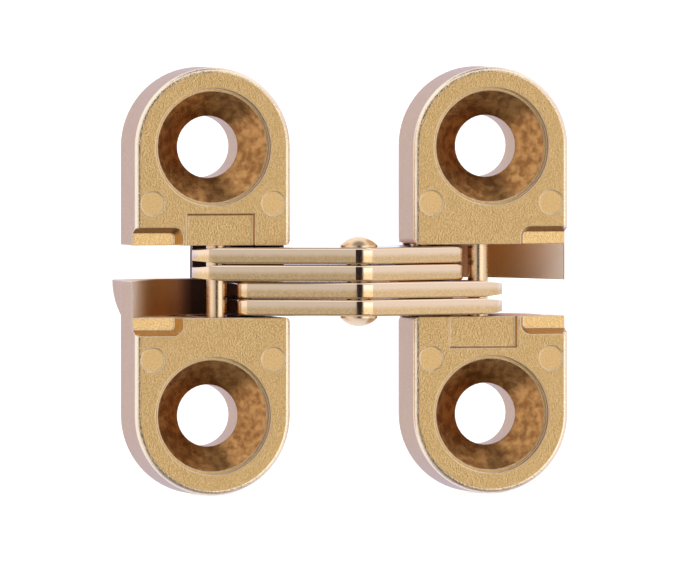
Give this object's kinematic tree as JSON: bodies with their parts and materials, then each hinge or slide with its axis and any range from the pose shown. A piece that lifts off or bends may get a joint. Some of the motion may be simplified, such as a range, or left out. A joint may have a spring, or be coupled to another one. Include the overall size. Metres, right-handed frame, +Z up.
{
  "type": "invisible hinge",
  "caption": "Concealed mortise hinge: two slim round-ended leaves with countersunk holes, joined by crossed links that fold into pockets as it closes.",
  "frame": {"origin": "midway between the left leaf's two screw holes, on the back plane of its wings, with the hinge fully open", "axes": "+Z up along the pins, +X to the right across both leaves, front faces look towards -Y"},
  "size_m": [0.0263, 0.0124, 0.0252],
  "materials": {
    "cast_leaf": "satin brass-plated zinc die casting",
    "stamped_plate": "bright brass-plated stamped steel",
    "turned_pin": "polished brass-plated steel pin"
  },
  "bodies": {
    "left_side": {"left_leaf": "cast_leaf", "left_pivot_pin": "turned_pin"},
    "lower_link": {"lower_link_plate_1": "stamped_plate", "lower_link_plate_2": "stamped_plate", "right_slide_pin": "turned_pin"},
    "upper_link": {"upper_link_plate_1": "stamped_plate", "upper_link_plate_2": "stamped_plate", "left_slide_pin": "turned_pin", "centre_pin": "turned_pin"},
    "right_side": {"right_leaf": "cast_leaf", "right_pivot_pin": "turned_pin"}
  },
  "joints": [
    {"name": "lower_link_pivot", "type": "hinge", "parent": "left_side", "child": "lower_link", "pos_m": [0.00305, 0.00143, 0], "axis": [0, 0, -1], "range_deg": [0, 85.75]},
    {"name": "scissor_pivot", "type": "hinge", "parent": "lower_link", "child": "upper_link", "pos_m": [0.00845, -0.00552, 0], "axis": [0, 0, -1], "range_deg": [0, 8.5]},
    {"name": "right_leaf_pivot", "type": "hinge", "parent": "upper_link", "child": "right_side", "pos_m": [0.01385, 0.00143, 0], "axis": [0, 0, -1], "range_deg": [0, 85.76]}
  ],
  "couplings": [
    {"joint": "scissor_pivot", "follows": "lower_link_pivot", "ratio": 0.099081},
    {"joint": "right_leaf_pivot", "follows": "lower_link_pivot", "ratio": 1}
  ]
}
